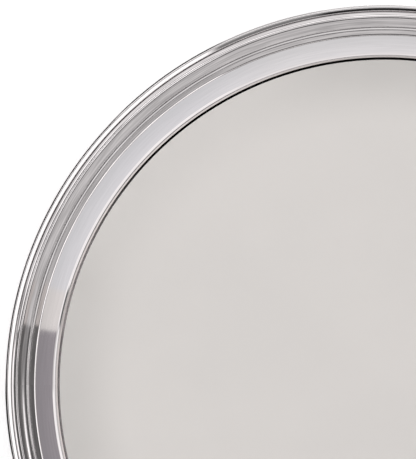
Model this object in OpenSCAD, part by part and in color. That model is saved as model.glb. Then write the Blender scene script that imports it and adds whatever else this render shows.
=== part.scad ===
// Round buffet plate in polished stainless steel: a pressed dish with a flat satin well,
// a reeded border moulding brazed to its flange, and a wire rolled into its edge.
// Millimetres, +Z up. The origin is on the plate's axis, at the surface that it stands on.
// Slopes are in degrees from level, and rise outwards.

/* [Plate] */
// Diameter over the rolled edge
plate_d = 330; // [300:1:360]
// Thickness of the pressed sheet
sheet_t = 0.6; // [0.5:0.05:0.7]

/* [Well] */
// Space between the underside of the floor and the table
floor_lift = 0.4; // [0.2:0.05:0.55]
// Width of the flat ring that the plate stands on
stand_w = 0.8; // [0.4:0.1:1]
// Rounding where the floor drops into the crease
brink_r = 0.25; // [0.15:0.05:0.5]
// Rounding in the bottom of the crease
crease_r = 0.12; // [0.05:0.01:0.3]
// Slope of the side of the crease next to the floor
crease_slope = 64; // [50:1:70]

/* [Step and band] */
// Height of the band's inner edge over the floor of the well
step_h = 2.4; // [2.2:0.1:4]
// Slope of the wall that rises from the crease
wall_slope = 65; // [55:1:67]
// Radius of the rounded shoulder on top of the wall
shoulder_r = 5.3; // [4.5:0.1:5.8]
// Slope of the shoulder where it meets the band
shoulder_slope = 27; // [20:1:34]
// Width of the smooth band, along its slope, from the shoulder to the moulding
band_w = 7.5; // [4:0.1:20]
// Slope of the smooth band and of the flange under the moulding
band_slope = 13; // [6:1:18]

/* [Rolled edge] */
// Outer radius of the rolled edge
bead_r = 0.92; // [0.9:0.02:1.3]
// Slope of the lip, which is pressed flat from the top of the roll inwards
lip_slope = 26; // [20:1:32]
// Width of the lip, as far as its rounded end
lip_w = 1.1; // [0.8:0.05:1.3]
// Space between the end of the lip and the moulding
lip_gap = 0.1; // [0.05:0.05:0.5]
// Clearance between the wire and the roll
wire_clearance = 0.03; // [0.02:0.01:0.06]
// Gap between the two ends of the wire
wire_gap = 1.5; // [0.5:0.1:4]

/* [Border moulding] */
// Clearance between the moulding and the sheet, filled by the braze
braze_gap = 0.05; // [0.02:0.01:0.1]
// Width of the flat next to the rolled edge
flat_w = 1.45; // [0.8:0.05:2]
// Width of the outer reed
outer_reed_w = 1.2; // [0.8:0.05:2]
// Width of the hollow between the reeds
hollow_w = 3.95; // [2:0.05:5]
// Width of the inner reed
inner_reed_w = 1.45; // [0.8:0.05:2]
// Width of the slant inside the inner reed
slant_w = 1.9; // [1:0.05:3]
// Width of the chamfer at the inner edge
chamfer_w = 0.55; // [0.3:0.05:1]
// Thickness at the outer edge
edge_t = 0.85; // [0.7:0.05:1.2]
// Thickness between the flat and the outer reed
flat_t = 1; // [0.7:0.05:1.3]
// Thickness between the outer reed and the hollow
outer_reed_t = 1.15; // [0.9:0.05:1.5]
// Thickness between the hollow and the inner reed
hollow_t = 0.9; // [0.7:0.05:1.3]
// Thickness between the inner reed and the slant
inner_reed_t = 1.05; // [0.8:0.05:1.4]
// Thickness between the slant and the chamfer
slant_t = 0.85; // [0.6:0.05:1.2]
// Thickness between the chamfer and the end face
end_t = 0.73; // [0.4:0.01:0.8]
// Half the turn of the flat's slightly rounded face
flat_turn = 5; // [2:1:12]
// Half the turn of the outer reed's face
outer_reed_turn = 28; // [10:1:50]
// Half the turn of the hollow's face
hollow_turn = 2; // [1:1:12]
// Half the turn of the inner reed's face
inner_reed_turn = 17; // [10:1:50]
// Half the turn of the slant's slightly rounded face
slant_turn = 1; // [1:1:10]
// Angle between the inner end face and the band
end_slope = 66; // [45:1:85]

/* [Hidden] */
// Steps round a full turn, and in each arc of an outline
$fn = 180;
arc_steps = 12;

// Directions along the band and out of it
along = [cos(band_slope), sin(band_slope)];
out = [-sin(band_slope), cos(band_slope)];

// Edges of the moulding's faces, as runs along the band from the shoulder's edge
end_w = (end_t - braze_gap) / tan(end_slope);
end_run = band_w + end_w;
slant_run = end_run + chamfer_w;
inner_reed_run = slant_run + slant_w;
hollow_run = inner_reed_run + inner_reed_w;
outer_reed_run = hollow_run + hollow_w;
flat_run = outer_reed_run + outer_reed_w;
edge_run = flat_run + flat_w;

// Standing ring: the sheet bends round one centre, and its underside is coined flat
ring_r = crease_r + sheet_t;
ring_half = asin(stand_w / 2 / ring_r);
ring_z = ring_r * cos(ring_half);
ring_start = acos((ring_z - floor_lift) / ring_r);

// Heights of the floor, of the band's inner edge and of the arcs' centres
floor_z = floor_lift + sheet_t;
brink_z = floor_z - brink_r;
band_z = floor_z + step_h;
shoulder_z = band_z - shoulder_r * cos(shoulder_slope);

// Heights of the straight side of the crease and of the straight wall
crease_h = brink_z - ring_z + (brink_r + crease_r) * cos(crease_slope);
wall_h = shoulder_z - ring_z + (shoulder_r + crease_r) * cos(wall_slope);

// Radii, from the rolled edge inwards: the underside of the flange is tangent to the roll
lip_turn = lip_slope - band_slope;
lip_reach = (bead_r - sheet_t) * sin(lip_turn) + lip_w * cos(lip_turn) + sheet_t;
bead_run = edge_run + lip_gap + lip_reach;
bead_x = plate_d / 2 - bead_r;
band_x = bead_x - bead_run * along[0] - (bead_r - sheet_t) * out[0];
shoulder_x = band_x + shoulder_r * sin(shoulder_slope);
crease_x = shoulder_x - (shoulder_r + crease_r) * sin(wall_slope) - wall_h / tan(wall_slope);
well_r = crease_x - (brink_r + crease_r) * sin(crease_slope) - crease_h / tan(crease_slope);

// Slope at which the shoulder's underside meets the band's, for a sheet of even thickness
under_h = shoulder_r * cos(shoulder_slope - band_slope) - sheet_t;
under_slope = band_slope + acos(under_h / (shoulder_r - sheet_t));

// Start of the band, and the centres of the arcs
band_start = [band_x, band_z];
shoulder_c = [shoulder_x, shoulder_z];
crease_c = [crease_x, ring_z];
brink_c = [well_r, brink_z];
bead_c = band_start + bead_run * along + (bead_r - sheet_t) * out;
lip_c = bead_c + (bead_r - sheet_t) * [-sin(lip_slope), cos(lip_slope)]
        - lip_w * [cos(lip_slope), sin(lip_slope)];
wire_r = bead_r - sheet_t - wire_clearance;

// Point at a run along the band and a height over it
function on_band(run, height) = band_start + run * along + height * out;

// Points of an arc of the sheet's face: side is 1 on a crest and -1 in a hollow
function bend(c, r, from, to, side) =
    [for (i = [0 : arc_steps])
        let (s = from + (to - from) * i / arc_steps)
        c + side * r * [-sin(s), cos(s)]];

// Points of an arc round a centre, from one direction to another
function turn(c, r, from, to) =
    [for (i = [0 : arc_steps])
        let (a = from + (to - from) * i / arc_steps)
        c + r * [cos(a), sin(a)]];

// Points round the roll, from the flange over the outermost point to the lip
function roll(r) = concat(turn(bead_c, r, band_slope - 90, 0), turn(bead_c, r, 0, 90 + lip_slope));

// Points of an arc from p inwards to q that bows upwards, or downwards if half_turn is negative
function bow(p, q, half_turn) =
    let (chord = q - p,
         r = norm(chord) / 2 / sin(half_turn),
         up = [chord[1], -chord[0]] / norm(chord),
         c = (p + q) / 2 - up * r * cos(half_turn),
         mid = atan2(up[1], up[0]))
    turn(c, r, mid - half_turn, mid + half_turn);

// Pressed sheet: floor, crease, wall, shoulder, band and flange, and the roll with its lip
module dish() {
    upper = concat(
        [[0, floor_z]],
        bend(brink_c, brink_r, 0, -crease_slope, 1),
        bend(crease_c, crease_r, -crease_slope, wall_slope, -1),
        bend(shoulder_c, shoulder_r, wall_slope, shoulder_slope, 1),
        roll(bead_r - sheet_t),
        [lip_c]);
    lower = concat(
        [[0, floor_lift]],
        bend(crease_c, ring_r, -ring_start, -ring_half, -1),
        bend(crease_c, ring_r, ring_half, wall_slope, -1),
        bend(shoulder_c, shoulder_r - sheet_t, wall_slope, under_slope, 1),
        roll(bead_r),
        turn(lip_c, sheet_t, 90 + lip_slope, 180 + lip_slope));
    color("silver")
        rotate_extrude()
            polygon(concat(upper, [for (i = [len(lower) - 1 : -1 : 0]) lower[i]]));
}

// Drawn strip with reeds and a hollow, bent to a ring and brazed on the flange
module border_moulding() {
    edge_top = on_band(edge_run, edge_t);
    flat_top = on_band(flat_run, flat_t);
    outer_reed_top = on_band(outer_reed_run, outer_reed_t);
    hollow_top = on_band(hollow_run, hollow_t);
    inner_reed_top = on_band(inner_reed_run, inner_reed_t);
    slant_top = on_band(slant_run, slant_t);
    end_top = on_band(end_run, end_t);
    color("gainsboro")
        rotate_extrude()
            polygon(concat(
                [on_band(edge_run, braze_gap)],
                bow(edge_top, flat_top, flat_turn),
                bow(flat_top, outer_reed_top, outer_reed_turn),
                bow(outer_reed_top, hollow_top, -hollow_turn),
                bow(hollow_top, inner_reed_top, inner_reed_turn),
                bow(inner_reed_top, slant_top, slant_turn),
                [end_top, on_band(band_w, braze_gap)]));
}

// Round wire inside the roll, bent to a ring whose ends nearly meet
module edge_wire() {
    gap_angle = wire_gap / (2 * PI * bead_c[0]) * 360;
    color("dimgray")
        rotate_extrude(angle = 360 - gap_angle)
            translate(bead_c)
                circle(r = wire_r);
}

dish();
border_moulding();
edge_wire();
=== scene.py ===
# %% [markdown]
# # A round buffet plate in polished stainless steel
#
# The plate is three real pieces: a pressed dish, a reeded border moulding that is brazed to its flange, and a
# wire that is rolled into its edge. All three are rings about one axis, so each is modelled the same way: its
# cut section is drawn first, and the section is then spun about the axis. The shine does the rest, and that
# needs true curves and a studio with something in it to reflect.

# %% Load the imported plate
import math

import bmesh
import bpy
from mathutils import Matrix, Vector


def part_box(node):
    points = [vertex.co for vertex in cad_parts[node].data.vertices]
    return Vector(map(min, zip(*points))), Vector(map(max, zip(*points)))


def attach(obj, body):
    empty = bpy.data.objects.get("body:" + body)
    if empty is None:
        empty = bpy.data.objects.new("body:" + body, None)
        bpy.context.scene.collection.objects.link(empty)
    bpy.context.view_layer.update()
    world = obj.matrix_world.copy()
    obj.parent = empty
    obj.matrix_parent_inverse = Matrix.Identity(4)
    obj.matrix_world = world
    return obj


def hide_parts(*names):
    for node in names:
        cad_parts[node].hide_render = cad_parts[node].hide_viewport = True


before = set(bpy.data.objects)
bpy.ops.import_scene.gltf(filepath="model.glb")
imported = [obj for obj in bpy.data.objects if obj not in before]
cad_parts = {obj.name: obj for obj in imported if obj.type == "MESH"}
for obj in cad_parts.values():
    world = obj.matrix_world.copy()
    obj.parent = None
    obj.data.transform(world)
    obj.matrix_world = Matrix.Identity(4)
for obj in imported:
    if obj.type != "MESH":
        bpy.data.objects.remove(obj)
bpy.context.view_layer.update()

# %% [markdown]
# ## The sizes of the section
#
# Sizes are in millimetres and slopes in degrees, as on the workshop's drawing. They could be measured off
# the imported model, but its arcs are already split into facets there, so the drawing is repeated: only the
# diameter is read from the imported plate, and every radius is worked out from the rolled edge inwards.

# %% Sizes of the dish
MM = 0.001
plate_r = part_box("dish")[1].x / MM
sheet_t = 0.6
floor_lift = 0.4
stand_w = 0.8
brink_r, crease_r, crease_slope = 0.25, 0.12, 64
step_h, wall_slope = 2.4, 65
shoulder_r, shoulder_slope = 5.3, 27
band_w, band_slope = 7.5, 13
bead_r, lip_slope, lip_w, lip_gap = 0.92, 26, 1.1, 0.1
print("plate radius:", round(plate_r, 3), "mm")

# %% Sizes of the moulding: widths and half turns of its faces, and thicknesses between them
braze_gap = 0.05
flat_w, outer_reed_w, hollow_w, inner_reed_w, slant_w, chamfer_w = 1.45, 1.2, 3.95, 1.45, 1.9, 0.55
flat_turn, outer_reed_turn, hollow_turn, inner_reed_turn, slant_turn = 5, 28, 2, 17, 1
edge_t, flat_t, outer_reed_t, hollow_t, inner_reed_t, slant_t, end_t = 0.85, 1.0, 1.15, 0.9, 1.05, 0.85, 0.73
end_slope = 66


# %% Angles in degrees
def sin(degrees):
    return math.sin(math.radians(degrees))


def cos(degrees):
    return math.cos(math.radians(degrees))


def tan(degrees):
    return math.tan(math.radians(degrees))


# %% Runs along the band at which the moulding's faces meet
along = Vector((cos(band_slope), sin(band_slope)))
out = Vector((-sin(band_slope), cos(band_slope)))
end_run = band_w + (end_t - braze_gap) / tan(end_slope)
slant_run = end_run + chamfer_w
inner_reed_run = slant_run + slant_w
hollow_run = inner_reed_run + inner_reed_w
outer_reed_run = hollow_run + hollow_w
flat_run = outer_reed_run + outer_reed_w
edge_run = flat_run + flat_w
print("moulding width along the band:", round(edge_run - band_w, 3), "mm")

# %% Heights, and the standing ring under the crease
ring_r = crease_r + sheet_t
ring_half = math.degrees(math.asin(stand_w / 2 / ring_r))
ring_z = ring_r * cos(ring_half)
ring_start = math.degrees(math.acos((ring_z - floor_lift) / ring_r))
floor_z = floor_lift + sheet_t
brink_z = floor_z - brink_r
band_z = floor_z + step_h
shoulder_z = band_z - shoulder_r * cos(shoulder_slope)
crease_h = brink_z - ring_z + (brink_r + crease_r) * cos(crease_slope)
wall_h = shoulder_z - ring_z + (shoulder_r + crease_r) * cos(wall_slope)

# %% Radii, from the rolled edge inwards
lip_turn = lip_slope - band_slope
lip_reach = (bead_r - sheet_t) * sin(lip_turn) + lip_w * cos(lip_turn) + sheet_t
bead_run = edge_run + lip_gap + lip_reach
bead_x = plate_r - bead_r
band_x = bead_x - bead_run * along.x - (bead_r - sheet_t) * out.x
shoulder_x = band_x + shoulder_r * sin(shoulder_slope)
crease_x = shoulder_x - (shoulder_r + crease_r) * sin(wall_slope) - wall_h / tan(wall_slope)
well_r = crease_x - (brink_r + crease_r) * sin(crease_slope) - crease_h / tan(crease_slope)

band_start = Vector((band_x, band_z))
shoulder_c = Vector((shoulder_x, shoulder_z))
crease_c = Vector((crease_x, ring_z))
brink_c = Vector((well_r, brink_z))
bead_c = band_start + bead_run * along + (bead_r - sheet_t) * out
lip_c = bead_c + (bead_r - sheet_t) * Vector((-sin(lip_slope), cos(lip_slope)))
lip_c -= lip_w * Vector((cos(lip_slope), sin(lip_slope)))
print("crease radius:", round(crease_x, 3), "well radius:", round(well_r, 3), "bead centre:", bead_c[:])


def on_band(run, height):
    """Point over the band, as a run along it from the shoulder and a height out of it."""
    return band_start + run * along + height * out


# %% [markdown]
# ## Drawing a section with a pen
#
# A mirror shows every flaw of its shape, so the fillets have to be true arcs. The pen starts as one vertex: a
# straight line is that vertex extruded and moved, and an arc is that vertex spun about the arc's centre. The
# arc's steps turn less than 4 degrees each. The shading smooths such small turns and keeps anything bigger as
# a crisp edge, so the faces of the border stay apart.

# %% The pen
STEP_TURN = 3.9


class Pen:
    """Draws a section in the plane y = 0, x outwards and z up, in millimetres."""

    def __init__(self, point):
        self.bm = bmesh.new()
        self.tip = self.bm.verts.new((point[0], 0, point[1]))

    def line(self, point):
        made = bmesh.ops.extrude_vert_indiv(self.bm, verts=[self.tip])
        self.tip = made["verts"][0]
        self.tip.co = (point[0], 0, point[1])

    def arc(self, centre, degrees, step_turn=STEP_TURN):
        """Turns anticlockwise about the centre, or clockwise where degrees is negative."""
        made = bmesh.ops.spin(self.bm, geom=[self.tip], cent=(centre[0], 0, centre[1]), axis=(0, -1, 0),
                              angle=math.radians(degrees), steps=math.ceil(abs(degrees) / step_turn))
        self.tip = next(g for g in made["geom_last"] if isinstance(g, bmesh.types.BMVert))

    def bow(self, point, half_turn, step_turn=STEP_TURN):
        """Goes on to a point along an arc that bows upwards, or downwards where half_turn is negative."""
        start = Vector((self.tip.co.x, self.tip.co.z))
        chord = point - start
        up = Vector((-chord.y, chord.x)).normalized()
        radius = chord.length / 2 / sin(half_turn)
        self.arc((start + point) / 2 - up * radius * cos(half_turn), -2 * half_turn, step_turn)


def on_arc(centre, radius, slope, side=1):
    """Point of an arc where its face has this slope: side is 1 on a crest and -1 in a hollow."""
    return centre + side * radius * Vector((-sin(slope), cos(slope)))


# %% Spin a section into a ring
RING_STEPS = 360
MERGE = 0.0001
SHARP_TURN = 4.5


def spin_ring(pen, name):
    bm = pen.bm
    bmesh.ops.spin(bm, geom=bm.verts[:] + bm.edges[:], cent=(0, 0, 0), axis=(0, 0, 1),
                   angle=math.radians(360), steps=RING_STEPS, use_merge=True)
    bmesh.ops.remove_doubles(bm, verts=bm.verts, dist=MERGE)
    bmesh.ops.scale(bm, verts=bm.verts, vec=(MM, MM, MM))
    bmesh.ops.recalc_face_normals(bm, faces=bm.faces)
    mesh = bpy.data.meshes.new(name)
    bm.to_mesh(mesh)
    bm.free()
    mesh.shade_smooth()
    mesh.set_sharp_from_angle(angle=math.radians(SHARP_TURN))
    piece = bpy.data.objects.new(name, mesh)
    bpy.context.scene.collection.objects.link(piece)
    print(name, "faces:", len(mesh.polygons))
    return piece


# %% [markdown]
# ## The dish
#
# The real dish is one round of sheet, pressed between two dies and rolled up at its edge. A disc with a
# Solidify modifier would give an even sheet, but the ring that the plate stands on is coined flat, so both
# faces of the sheet are drawn. The section starts in the middle of the well, goes out along the upper face,
# round the roll and its lip, and back along the underside. A vertex between a long flat face and a fillet
# leans a little, and that lean would spread over the whole face. So most long faces get an extra point
# just before the fillet, which keeps the lean between the two.

# %% The upper face, from the middle of the well to the flange
SUPPORT = 0.4
pen = Pen((0, floor_z))
pen.line((well_r - SUPPORT, floor_z))
pen.line((well_r, floor_z))
pen.arc(brink_c, -crease_slope)
pen.line(on_arc(crease_c, crease_r, -crease_slope, -1))
pen.arc(crease_c, crease_slope + wall_slope)
pen.line(on_arc(shoulder_c, shoulder_r, wall_slope))
pen.arc(shoulder_c, shoulder_slope - wall_slope)
pen.line(on_band(edge_run, 0))

# %% The roll at the edge, out and back round the wire, and its flat lip
INSIDE_TURN = 8
LIP_SUPPORT = 0.06
roll_turn = 180 + lip_slope - band_slope
lip_run = Vector((cos(lip_slope), sin(lip_slope)))
pen.line(bead_c - (bead_r - sheet_t) * out)
pen.arc(bead_c, roll_turn, INSIDE_TURN)
pen.line(lip_c)
pen.line(lip_c - sheet_t * lip_run)
pen.arc(lip_c, -90)
pen.line(on_arc(lip_c, sheet_t, lip_slope) + LIP_SUPPORT * lip_run)
pen.line(on_arc(bead_c, bead_r, lip_slope) - LIP_SUPPORT * lip_run)
pen.line(on_arc(bead_c, bead_r, lip_slope))
pen.arc(bead_c, -roll_turn)

# %% The underside, back to the middle
under_h = shoulder_r * cos(shoulder_slope - band_slope) - sheet_t
under_slope = band_slope + math.degrees(math.acos(under_h / (shoulder_r - sheet_t)))
under_start = on_arc(shoulder_c, shoulder_r - sheet_t, under_slope)
pen.line(under_start + (bead_run - SUPPORT) * along)
pen.line(under_start)
pen.arc(shoulder_c, wall_slope - under_slope)
pen.line(on_arc(crease_c, ring_r, wall_slope, -1))
pen.arc(crease_c, ring_half - wall_slope)
pen.line(on_arc(crease_c, ring_r, -ring_half, -1))
pen.arc(crease_c, ring_half - ring_start)
pen.line((pen.tip.co.x - SUPPORT, floor_lift))
pen.line((0, floor_lift))
dish = spin_ring(pen, "plate_dish")
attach(dish, "root")
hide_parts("dish")

# %% [markdown]
# ## The border moulding
#
# The border is a strip drawn through a die, bent to a ring and brazed on the flange. From the roll inwards it
# has a flat, a reed, a wide hollow, a second reed, a slant and a chamfer. Each but the chamfer is an arc
# between two edges, so one pen stroke draws it. A bevelled or subdivided ring would soften the edges between
# the faces, and those edges are what makes the border look crisp. The hollow turns by only 4 degrees in all,
# so it needs finer steps than the others for its reflection to slide evenly across it.

# %% Round the inner corner, between the end face and the chamfer
CORNER_R = 0.4
chamfer_slope = math.degrees(math.atan2(slant_t - end_t, chamfer_w))
corner_turn = end_slope - chamfer_slope
corner_reach = CORNER_R * tan(corner_turn / 2)
corner = on_band(end_run, end_t)
end_side = corner - corner_reach * (cos(end_slope) * along + sin(end_slope) * out)
corner_c = end_side + CORNER_R * (sin(end_slope) * along - cos(end_slope) * out)
print("rounded corner takes", round(corner_reach, 3), "mm of each face")

# %% Draw the moulding, from the corner at the braze over its top to the roll
HOLLOW_STEP = 0.5
pen = Pen(on_band(band_w, braze_gap))
pen.line(end_side)
pen.arc(corner_c, -corner_turn)
pen.line(on_band(slant_run, slant_t))
pen.bow(on_band(inner_reed_run, inner_reed_t), slant_turn)
pen.bow(on_band(hollow_run, hollow_t), inner_reed_turn)
pen.bow(on_band(outer_reed_run, outer_reed_t), -hollow_turn, HOLLOW_STEP)
pen.bow(on_band(flat_run, flat_t), outer_reed_turn)
pen.bow(on_band(edge_run, edge_t), flat_turn)
pen.line(on_band(edge_run, braze_gap))
pen.line(on_band(band_w, braze_gap))
moulding = spin_ring(pen, "plate_moulding")
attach(moulding, "root")
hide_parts("border_moulding")

# %% [markdown]
# ## Wiring materials in code
#
# A procedural finish is a small network of nodes. Four helpers keep it readable: one adds a node and fills
# its inputs, whether with numbers or with another node's output, one does sums, one turns a range of values
# into another range, and one mixes colours.

# %% Helpers for nodes
def add(tree, kind, inputs=None, **settings):
    node = tree.nodes.new("ShaderNode" + kind)
    for key, value in settings.items():
        setattr(node, key, value)
    for key, value in (inputs or {}).items():
        if isinstance(value, bpy.types.NodeSocket):
            tree.links.new(value, node.inputs[key])
        else:
            node.inputs[key].default_value = value
    return node


def calc(tree, operation, *values):
    return add(tree, "Math", dict(enumerate(values)), operation=operation).outputs[0]


def ramp(tree, value, low, high, to_low=0.0, to_high=1.0, kind="SMOOTHSTEP"):
    """Turns a value that goes from low to high into one that goes from to_low to to_high."""
    return add(tree, "MapRange", {"Value": value, "From Min": low, "From Max": high, "To Min": to_low,
                                  "To Max": to_high}, interpolation_type=kind).outputs["Result"]


def tint(tree, factor, a, b, kind="MIX"):
    """Mixes or multiplies two colours."""
    return add(tree, "Mix", {0: factor, 6: a, 7: b}, data_type="RGBA", blend_type=kind).outputs[2]


# %% [markdown]
# ## Where a point is on a round plate
#
# Polish lines, grime and scratches on a turned or spun thing follow its circles. So the finishes read a
# point's distance from the axis and its direction from it, both worked out from Object coordinates, and
# stretch their noise along the circles.

# %% Round coordinates and noise along circles
STREAK_DETAIL = 2.0


def round_place(tree):
    """The Object coordinates in millimetres, the distance from the axis and the angle in radians."""
    at = add(tree, "TexCoord").outputs["Object"]
    mm = add(tree, "VectorMath", {0: at, "Scale": 1 / MM}, operation="SCALE").outputs[0]
    xyz = add(tree, "SeparateXYZ", {0: mm}).outputs
    r = calc(tree, "SQRT", calc(tree, "ADD", calc(tree, "POWER", xyz[0], 2), calc(tree, "POWER", xyz[1], 2)))
    return mm, r, calc(tree, "ARCTAN2", xyz[1], xyz[0])


def circle_noise(tree, r, angle, height, across, round_, seed=0.0):
    """Noise in streaks along the circles: across is per millimetre, round_ is per radian.

    height sets apart faces that lie over each other, and seed sets apart two uses.
    """
    where = add(tree, "CombineXYZ", {0: calc(tree, "MULTIPLY", r, across),
                                     1: calc(tree, "MULTIPLY", angle, round_),
                                     2: calc(tree, "MULTIPLY_ADD", height, across, seed)}).outputs[0]
    return add(tree, "TexNoise", {"Vector": where, "Scale": 1.0, "Detail": STREAK_DETAIL}).outputs["Fac"]


def near(tree, r, at, width):
    """1 on the circle of this radius, falling to 0 at this width on either side."""
    return ramp(tree, calc(tree, "ABSOLUTE", calc(tree, "SUBTRACT", r, at)), 0, width, 1, 0)


# %% [markdown]
# ## Mirror-polished steel
#
# The rim was polished on a wheel while it turned, so the finest lines run round it, and they blur the mirror
# by a hair's width. The steel is faintly warm. The notches between the faces of the moulding, its foot and
# the crease round the well get painted shade: there the steel is mixed with a near-black colour, and along
# the notches it is made rougher too.

# %% Values of the polish: noise is per millimetre across the circles and per radian along them
STEEL = (0.842, 0.802, 0.806, 1)
DULLER = (0.793, 0.757, 0.758, 1)
DULLER_MOST = 0.12
CLOUD_SCALE = 0.05
# Near black, for painted shade and painted dark reflections
PAINTED_DARK = (0.012, 0.011, 0.010, 1)
SHADE_LINE_ROUGH = 0.35
WHEEL_NOISE = (5.0, 3.0)
WHEEL_ROUGH = (0.02, 0.05)
FINE_NOISE = (22.0, 9.0)
FINE_ROUGH = 0.02
STREAK_NOISE = (1.6, 10.0)
POLISH_BUMP = 0.012
BUMP_DEPTH = 0.00002
# Range of x over which the painted shade of a notch drops to its share at -X
SHADE_FADE_X = (-155, -150)


# %% The polished finish
def polished_steel(name, lines, streaky):
    """Makes the steel, and also returns its colour, for more to be laid over it.

    lines are the notches painted dark as shade: radius, width to either side, strength, and the share of it
    left at -X.
    streaky is how much lighter and darker the streaks are than the steel.
    """
    material = bpy.data.materials.new(name)
    material.use_nodes = True
    tree = material.node_tree
    shader = tree.nodes["Principled BSDF"]
    mm, r, angle = round_place(tree)
    x, _, height = add(tree, "SeparateXYZ", {0: mm}).outputs
    wheel = circle_noise(tree, r, angle, height, *WHEEL_NOISE)
    fine = circle_noise(tree, r, angle, height, *FINE_NOISE, seed=7.0)
    streak = circle_noise(tree, r, angle, height, *STREAK_NOISE, seed=11.0)
    cloud = add(tree, "TexNoise", {"Vector": mm, "Scale": CLOUD_SCALE, "Detail": 3.0}).outputs["Fac"]
    shade_lines = 0.0
    # Painted shade along each notch, weaker towards -X by the line's share
    for at, width, strength, left in lines:
        here = ramp(tree, x, *SHADE_FADE_X, strength * left, strength)
        shade_lines = calc(tree, "MAXIMUM", shade_lines, calc(tree, "MULTIPLY", near(tree, r, at, width), here))
    color = tint(tree, ramp(tree, cloud, 0.3, 0.7, 0.0, DULLER_MOST), STEEL, DULLER)
    shade = ramp(tree, streak, 0.35, 0.65, 1 + streaky, 1 - streaky, kind="LINEAR")
    color = tint(tree, 1.0, color, shade, kind="MULTIPLY")
    # The notches' painted shade darkens the colour
    color = tint(tree, shade_lines, color, PAINTED_DARK)
    tree.links.new(color, shader.inputs["Base Color"])
    shader.inputs["Metallic"].default_value = 1
    rough = calc(tree, "ADD", ramp(tree, wheel, 0.3, 0.75, *WHEEL_ROUGH),
                 calc(tree, "ADD", ramp(tree, fine, 0.55, 0.8, 0.0, FINE_ROUGH),
                      calc(tree, "MULTIPLY", shade_lines, SHADE_LINE_ROUGH)))
    tree.links.new(rough, shader.inputs["Roughness"])
    bump = add(tree, "Bump", {"Height": fine, "Strength": POLISH_BUMP, "Distance": BUMP_DEPTH})
    tree.links.new(bump.outputs[0], shader.inputs["Normal"])
    return material, color


# %% Painted shade in the notches of the moulding
STREAKS_IN_STRIP = 0.14
notches = [(on_band(flat_run, flat_t).x, 0.18, 0.6, 1.0),
           (on_band(outer_reed_run, outer_reed_t).x - 0.06, 0.30, 1.0, 1.0),
           (on_band(hollow_run, hollow_t).x - 0.20, 0.34, 0.85, 0.4),
           (on_band(inner_reed_run, inner_reed_t).x, 0.24, 0.9, 1.0),
           (on_band(slant_run, slant_t).x, 0.2, 0.8, 1.0),
           (on_band(band_w, 0).x, 0.16, 0.5, 1.0)]
moulding_steel = polished_steel("moulding_steel", notches, STREAKS_IN_STRIP)[0]
moulding.data.materials.append(moulding_steel)
# These notches carry painted shade
print("grimy notches at", [round(notch[0], 2) for notch in notches])

# %% [markdown]
# ## Darkened band, painted shade and painted reflection on the dish
#
# The dish gets the same polish, and on top of it three darker marks. The band is darker towards the border.
# The crease gets painted shade, thickly on one side and thinly towards -X, with a ragged border. The outside
# of the roll has a painted dark reflection in a few places. Each is a mask on the radius, the height or the
# direction, and the masks mix the steel with a second colour.

# %% The band, darker towards the border
STREAKS_IN_DISH = 0.03
BAND_DARK = (0.64, 0.62, 0.62, 1)
BAND_DARK_MOST = 0.5
WALL_SHADE_LINE = crease_x + 1.3
band_end = on_band(band_w, 0).x
# Painted shade at the foot of the moulding and along a line on the wall of the step
dish_lines = [(band_end, 0.16, 0.5, 1.0), (WALL_SHADE_LINE, 0.4, 0.15, 1.0)]
dish_steel, color = polished_steel("dish_steel", dish_lines, STREAKS_IN_DISH)
tree = dish_steel.node_tree
mm, r, angle = round_place(tree)
x, _, height = add(tree, "SeparateXYZ", {0: mm}).outputs
# The band's colour darkens towards the border
band_dark = ramp(tree, r, band_x, band_end, 0.0, BAND_DARK_MOST)
color = tint(tree, band_dark, color, BAND_DARK)

# %% Painted shade in the crease, which thins out towards -X between THIN and THICK, with a ragged border
CREASE_IN, CREASE_OUT, CREASE_SOFT = crease_x - 0.28, crease_x + 0.33, 0.14
THIN, THICK, RAGGED = -138, -88, 14.0
CREASE_SHADE_LEAST = 0.25
CREASE_SHADE_SPREAD = 0.27
CREASE_SHADE_TOP, CREASE_SHADE_FULL = band_z - 0.5, band_z - 1.5
ragged_shade_noise = add(tree, "TexNoise", {"Vector": mm, "Scale": 0.08, "Detail": 2.0}).outputs["Fac"]
crease_shade = ramp(tree, calc(tree, "MULTIPLY_ADD", ragged_shade_noise, RAGGED, x), THIN, THICK, CREASE_SHADE_LEAST, 1.0)
spread = calc(tree, "MULTIPLY_ADD", crease_shade, CREASE_SHADE_SPREAD, r)
inside = ramp(tree, spread, CREASE_IN - CREASE_SOFT, CREASE_IN + CREASE_SOFT)
outside = ramp(tree, r, CREASE_OUT - CREASE_SOFT, CREASE_OUT + CREASE_SOFT, 1, 0)
low = ramp(tree, height, CREASE_SHADE_FULL, CREASE_SHADE_TOP, 1, 0)
# crease is the painted shade in the crease: between its two edges, low down, and strong by side
crease = calc(tree, "MULTIPLY", calc(tree, "MULTIPLY", inside, outside), calc(tree, "MULTIPLY", low, crease_shade))

# %% Painted dark reflection on the outside of the roll: direction, half width in degrees and strength of each place
DARK_REFLECTION_FROM, DARK_REFLECTION_TO = plate_r - 0.75, plate_r - 0.35
dark_reflection_places = [(125, 13, 1.0), (108, 12, 0.35), (94, 9, 0.18), (185, 7, 0.9), (-35, 14, 0.6), (30, 10, 0.4)]
dark_reflection = 0.0
for turned, half, strength in dark_reflection_places:
    aside = calc(tree, "WRAP", calc(tree, "SUBTRACT", angle, math.radians(turned)), math.pi, -math.pi)
    aside = calc(tree, "ABSOLUTE", aside)
    here = ramp(tree, aside, math.radians(half / 2), math.radians(half), strength, 0.0)
    dark_reflection = calc(tree, "MAXIMUM", dark_reflection, here)
dark_reflection = calc(tree, "MULTIPLY", dark_reflection, ramp(tree, r, DARK_REFLECTION_FROM, DARK_REFLECTION_TO))
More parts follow.
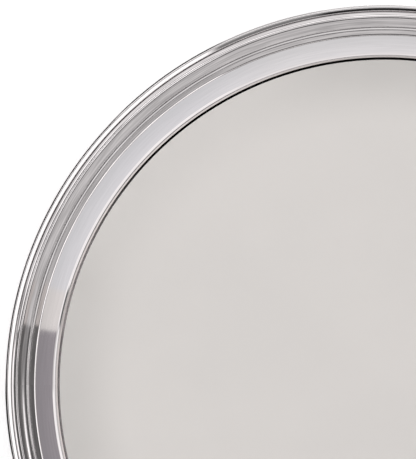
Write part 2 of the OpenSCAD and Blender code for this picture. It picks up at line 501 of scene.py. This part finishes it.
# Painted shade in the crease and painted dark reflection on the roll, both in near black
color = tint(tree, calc(tree, "MAXIMUM", crease, dark_reflection), color, PAINTED_DARK)
tree.links.new(color, tree.nodes["Principled BSDF"].inputs["Base Color"])
dish.data.materials.append(dish_steel)
print("paste between radii", round(CREASE_IN, 2), "and", round(CREASE_OUT, 2), "mm")

# %% [markdown]
# ## The satin well
#
# The floor of the well was blasted or brushed finely after pressing, so that it doesn't show every fork's
# scratch. It still is metal, so it isn't painted grey: only its roughness is higher, and it gathers light
# from a wide piece of the studio. Its colour has painted shade next to the crease, least along one
# diagonal, which leaves a painted sheen there.

# %% Values of the satin
SATIN = (0.945, 0.903, 0.873, 1)
# Colour of the painted shade next to the crease
SATIN_EDGE_SHADE = (0.76, 0.73, 0.705, 1)
SATIN_CLOUD = (0.90, 0.865, 0.837, 1)
SATIN_CLOUD_SCALE = 0.016
SATIN_CLOUD_MOST = 0.35
GRAIN_SCALE = 3.5
SATIN_ROUGH = (0.36, 0.42)
RINGED_NOISE = (2.5, 2.0)
RINGED_ROUGH = 0.02
SATIN_BUMP = 0.12
GRAIN_DEPTH = 0.00003
# Width of the painted shade next to the crease, and the direction of the painted sheen
EDGE_SHADE_WIDTH = 30
SHEEN_ALONG = 132


# %% The satin finish
def satin_steel(name):
    material = bpy.data.materials.new(name)
    material.use_nodes = True
    tree = material.node_tree
    shader = tree.nodes["Principled BSDF"]
    mm, r, angle = round_place(tree)
    cloud = add(tree, "TexNoise", {"Vector": mm, "Scale": SATIN_CLOUD_SCALE, "Detail": 2.0}).outputs["Fac"]
    grain = add(tree, "TexNoise", {"Vector": mm, "Scale": GRAIN_SCALE, "Detail": 3.0}).outputs["Fac"]
    ringed = circle_noise(tree, r, angle, 0.0, *RINGED_NOISE, seed=3.0)
    # Painted shade next to the crease, least along one diagonal, where it leaves a painted sheen
    edge = ramp(tree, r, well_r - EDGE_SHADE_WIDTH, well_r)
    across = calc(tree, "SINE", calc(tree, "ADD", angle, math.radians(-SHEEN_ALONG)))
    shade_and_sheen = calc(tree, "MULTIPLY", edge, ramp(tree, calc(tree, "POWER", across, 2), 0.0, 0.4, 0.3, 1.0))
    color = tint(tree, shade_and_sheen, SATIN, SATIN_EDGE_SHADE)
    color = tint(tree, ramp(tree, cloud, 0.35, 0.65, 0.0, SATIN_CLOUD_MOST), color, SATIN_CLOUD)
    tree.links.new(color, shader.inputs["Base Color"])
    shader.inputs["Metallic"].default_value = 1
    rough = calc(tree, "ADD", ramp(tree, grain, 0.3, 0.7, *SATIN_ROUGH),
                 ramp(tree, ringed, 0.4, 0.7, 0.0, RINGED_ROUGH))
    tree.links.new(rough, shader.inputs["Roughness"])
    bump = add(tree, "Bump", {"Height": grain, "Strength": SATIN_BUMP, "Distance": GRAIN_DEPTH})
    tree.links.new(bump.outputs[0], shader.inputs["Normal"])
    return material


# %% Which faces are satin: the level ones inside the crease
LEVEL = 0.99
dish.data.materials.append(satin_steel("satin_steel"))
satin_faces = 0
for face in dish.data.polygons:
    if abs(face.normal.z) > LEVEL and math.hypot(face.center.x, face.center.y) < well_r * MM:
        face.material_index = 1
        satin_faces += 1
print("satin faces:", satin_faces)

# %% [markdown]
# ## The wire in the edge
#
# The wire that stiffens the rolled edge is a plain ring with a gap, and the roll hides it. So the packed
# shape is kept as it is, and only gets the finish of wire that was drawn through a die: bright grey, with
# streaks that run along it. These also run along the plate's circles, so the same noise serves.

# %% The drawn finish
DRAWN = (0.55, 0.54, 0.53, 1)
DRAWN_DARK = (0.42, 0.41, 0.40, 1)
DRAWN_ROUGH = (0.3, 0.45)
DRAWN_NOISE = (9.0, 2.0)
wire = bpy.data.materials.new("drawn_wire")
wire.use_nodes = True
tree = wire.node_tree
shader = tree.nodes["Principled BSDF"]
mm, r, angle = round_place(tree)
height = add(tree, "SeparateXYZ", {0: mm}).outputs[2]
streaks = circle_noise(tree, r, angle, height, *DRAWN_NOISE)
tree.links.new(tint(tree, ramp(tree, streaks, 0.35, 0.7), DRAWN, DRAWN_DARK), shader.inputs["Base Color"])
tree.links.new(ramp(tree, streaks, 0.3, 0.7, *DRAWN_ROUGH), shader.inputs["Roughness"])
shader.inputs["Metallic"].default_value = 1
edge_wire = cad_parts["edge_wire"]
if not edge_wire.data.materials:
    edge_wire.data.materials.append(wire)
edge_wire.material_slots[0].material = wire

# %% [markdown]
# ## The camera
#
# The photograph looks straight down on a quarter of the plate. A circle fitted to the rim gives the size of a
# pixel on the plate and the spot below the lens. From several metres up the view is nearly parallel, so the
# plate's circles stay circles, and every flat face looks up at the camera at one and the same angle.

# %% Camera: one pixel of the photograph shows PX of the plate at RIM_HEIGHT
PX = 0.43381 * MM
IMAGE_HEIGHT = 459
SENSOR = 36
RIM_HEIGHT = 0.011
FAR = 20
eye = Vector((-0.07694, 0.06754, 4.5))
camera = bpy.data.objects.new("camera", bpy.data.cameras.new("camera"))
bpy.context.scene.collection.objects.link(camera)
bpy.context.scene.camera = camera
camera.location = eye
camera.data.sensor_width = SENSOR
camera.data.lens = SENSOR * (eye.z - RIM_HEIGHT) / (IMAGE_HEIGHT * PX)
camera.data.clip_end = FAR
print("focal length:", round(camera.data.lens, 1), "mm")

# %% [markdown]
# ## The floor
#
# The plate stands on a white sweep. It glows a little, as a lit paper sweep does, so that the roll's outer
# side, which mirrors it, is no darker than in the photograph.

# %% Floor
FLOOR_HALF = 3
FLOOR_WHITE = (0.9, 0.9, 0.9, 1)
FLOOR_ROUGH = 0.7
FLOOR_GLOW = 0.55
bm = bmesh.new()
bmesh.ops.create_grid(bm, x_segments=1, y_segments=1, size=FLOOR_HALF)
mesh = bpy.data.meshes.new("floor")
bm.to_mesh(mesh)
bm.free()
ground = bpy.data.objects.new("floor", mesh)
bpy.context.scene.collection.objects.link(ground)
white = bpy.data.materials.new("white_floor")
white.use_nodes = True
paint = white.node_tree.nodes["Principled BSDF"].inputs
paint["Base Color"].default_value = FLOOR_WHITE
paint["Roughness"].default_value = FLOOR_ROUGH
paint["Emission Color"].default_value = (1, 1, 1, 1)
paint["Emission Strength"].default_value = FLOOR_GLOW
ground.data.materials.append(white)

# %% [markdown]
# ## A studio for a mirror
#
# Polished steel has hardly any tone of its own: it shows what hangs round it. A face that leans by some angle
# mirrors the studio at twice that angle from straight up, so each face of the border picks one ring of the
# studio, and each direction round the plate picks one side of it. So the studio is a dome of soft panels, and
# each panel is given by its light, by its range from straight up and by its range of directions, in degrees.
# Faces that lean inwards see the far side of the studio, and faces that lean outwards see the near side. The
# order matters: each panel hangs in front of those before it.
#
# A photographer does the same with white boards and black strips: the boards give the light band and the
# white line of the lip, and the strips give the dark lines beside them. The warm and cool tints are those of
# real boards and daylight.

# %% The dome's directions
SKY_WHITE = (1, 1, 1, 1)
bpy.context.scene.view_settings.view_transform = "Standard"
world = bpy.data.worlds.new("studio")
bpy.context.scene.world = world
world.use_nodes = True
tree = world.node_tree
tree.nodes.clear()
xyz = add(tree, "SeparateXYZ", {0: add(tree, "TexCoord").outputs["Generated"]}).outputs
DEGREES = 180 / math.pi
polar = calc(tree, "MULTIPLY", calc(tree, "ARCCOSINE", xyz[2]), DEGREES)
azimuth = calc(tree, "MULTIPLY", calc(tree, "ARCTAN2", xyz[1], xyz[0]), DEGREES)


def panel(below, light, polar_range, azimuth_range, soft, soft_side):
    """Hangs a panel in front of what is below: ranges in degrees, light as a grey or as a colour."""
    color = (light, light, light, 1) if isinstance(light, float) else (*light, 1)
    low, high = polar_range
    cover = calc(tree, "MULTIPLY", ramp(tree, polar, low - soft / 2, low + soft / 2),
                 ramp(tree, polar, high - soft / 2, high + soft / 2, 1, 0))
    if azimuth_range:
        start, stop = azimuth_range
        half = (stop - start) / 2
        off_middle = calc(tree, "SUBTRACT", azimuth, (start + stop) / 2)
        aside = calc(tree, "ABSOLUTE", calc(tree, "WRAP", off_middle, 180, -180))
        sides = ramp(tree, aside, half - soft_side / 2, half + soft_side / 2, 1, 0)
        cover = calc(tree, "MULTIPLY", cover, sides)
    return tint(tree, cover, below, color)


# %% The sides of the studio, as faces that lean inwards see them
# FRONT serves the whole quarter that the picture shows. The others serve parts of it: TOP its upper end,
# CORNER its left end, and LEFT the dark end of that.
FRONT = (-125, 60)
TOP = (-125, -62)
CORNER = (-17.5, 60)
LEFT = (-10.8, 60)

# %% The panels: light, range from straight up, range of directions, softness of their edges and sides
panels = [
    # Overhead: seen by the crests of the roll and the reeds, and by the well
    (0.60, (-5, 9), None, 3, 1),
    (0.26, (-5, 9), (-112, -62), 3, 10),
    (0.26, (-5, 9), (68, 118), 3, 10),
    (0.03, (-5, 9), (-62, -18), 3, 10),
    (0.03, (-5, 9), (118, 165), 3, 10),
    (0.85, (-5, 9), LEFT, 3, 4),
    # Just off overhead: seen by the flat next to the roll and by the upper sides of the reeds
    (0.80, (9, 16), FRONT, 2, 6),
    (0.66, (9, 16), (-38, 60), 2, 6),
    (0.33, (9, 16), CORNER, 2, 2),
    (1.35, (9, 14), LEFT, 2, 1),
    (0.86, (16, 22.5), FRONT, 2, 6),
    (1.15, (16, 22.5), (-45, 60), 2, 8),
    # For the smooth band, which is cool in the middle of the picture's rim and warm towards the left
    ((0.785, 0.80, 0.825), (22.5, 28), FRONT, 1.5, 6),
    ((0.825, 0.835, 0.845), (22.5, 28), TOP, 1.5, 20),
    ((0.815, 0.80, 0.785), (22.5, 28), CORNER, 1.5, 1),
    # For the hollow, from its inner to its outer side, and then for the slant
    (0.44, (28, 30.3), FRONT, 1, 6),
    (0.58, (30.3, 34), FRONT, 1, 6),
    (0.50, (34, 36.5), FRONT, 1, 6),
    (0.47, (36.5, 41.5), FRONT, 1.5, 6),
    (0.60, (28, 30.3), TOP, 1, 6),
    (0.50, (30.3, 33), TOP, 1, 6),
    (0.60, (33, 41.5), TOP, 1.5, 6),
    ((0.53, 0.505, 0.49), (33, 41.5), CORNER, 1.5, 2),
    # For the white lip, the chamfer and the shoulder, and black near the horizon for the wall
    (2.00, (41.5, 46), FRONT, 1.5, 6),
    (1.50, (46, 55), FRONT, 1.5, 6),
    (1.28, (46, 49.6), CORNER, 1, 2),
    (1.60, (49.6, 60), CORNER, 1, 2),
    (1.08, (55, 65), FRONT, 1.5, 6),
    (1.04, (65, 81.5), FRONT, 3, 6),
    (0.03, (81.5, 96), FRONT, 3, 6),
    # The same for the top of the picture, where the lip and the chamfer are dark
    (0.36, (42, 49.6), TOP, 1, 3),
    (0.24, (49.6, 53.8), TOP, 0.8, 3),
    (0.03, (49.6, 53.8), (-125, -79), 0.8, 3),
    (0.85, (53.8, 64), TOP, 2, 8),
    (0.94, (64, 81), TOP, 2, 8),
    (0.45, (81, 93), TOP, 3, 10),
    # For the shoulder, just before the left end
    (0.10, (66, 82), (-17.5, -9.5), 5, 2),
    (0.55, (82, 93), (-17.5, -9.5), 5, 2),
    # For the left end, where the flat, the band, the hollow and the slant mirror something dark
    (0.14, (14, 22.5), LEFT, 1.5, 0.6),
    ((0.34, 0.325, 0.345), (22.5, 28), LEFT, 2, 0.6),
    (0.11, (28, 30.3), LEFT, 1, 0.6),
    (0.29, (30.3, 33), LEFT, 1, 0.6),
    (1.40, (30.7, 32.1), (1, 60), 0.8, 12),
    (0.12, (33, 36), LEFT, 2, 0.6),
    (0.135, (36, 41.5), LEFT, 1, 0.6),
    (0.50, (41.5, 46), LEFT, 2, 0.6),
    (1.10, (46, 49.6), LEFT, 1, 2),
    (0.64, (55, 65), (-10.8, 0), 2, 2),
    (1.10, (65, 78), LEFT, 3, 2),
    (0.60, (78, 93), LEFT, 3, 2),
    # The near side, seen by what leans outwards: the crest of the roll, and its outer half below that
    (2.40, (9, 20), (117, 136), 2, 6),
    (2.80, (9, 20), (136, 152), 2, 6),
    (2.10, (9, 20), (152, 168), 2, 6),
    (1.20, (9, 20), (168, 240), 2, 6),
    (1.45, (9, 20), (75, 117), 2, 6),
    (1.30, (20, 40), (75, 117), 2, 6),
    (0.85, (20, 44), (117, 134), 2, 3),
    (1.80, (44, 58), (119, 134), 3, 3),
    (0.02, (17.5, 93), (135, 240), 2, 3),
    (0.90, (40, 60), (75, 101), 4, 4),
    (0.50, (40, 60), (101, 117), 4, 4),
    (0.90, (60, 93), (75, 117), 4, 6),
    (0.00, (58, 93), (119, 134), 3, 3),
]
sky = SKY_WHITE
for light, polar_range, azimuth_range, soft, soft_side in panels:
    sky = panel(sky, light, polar_range, azimuth_range, soft, soft_side)
print("panels:", len(panels))

# %% Hang the dome: the camera itself sees plain white past the plate
seen = add(tree, "LightPath").outputs["Is Camera Ray"]
back = add(tree, "Background", {"Color": tint(tree, seen, sky, SKY_WHITE), "Strength": 1.0})
add(tree, "OutputWorld", {"Surface": back.outputs[0]})
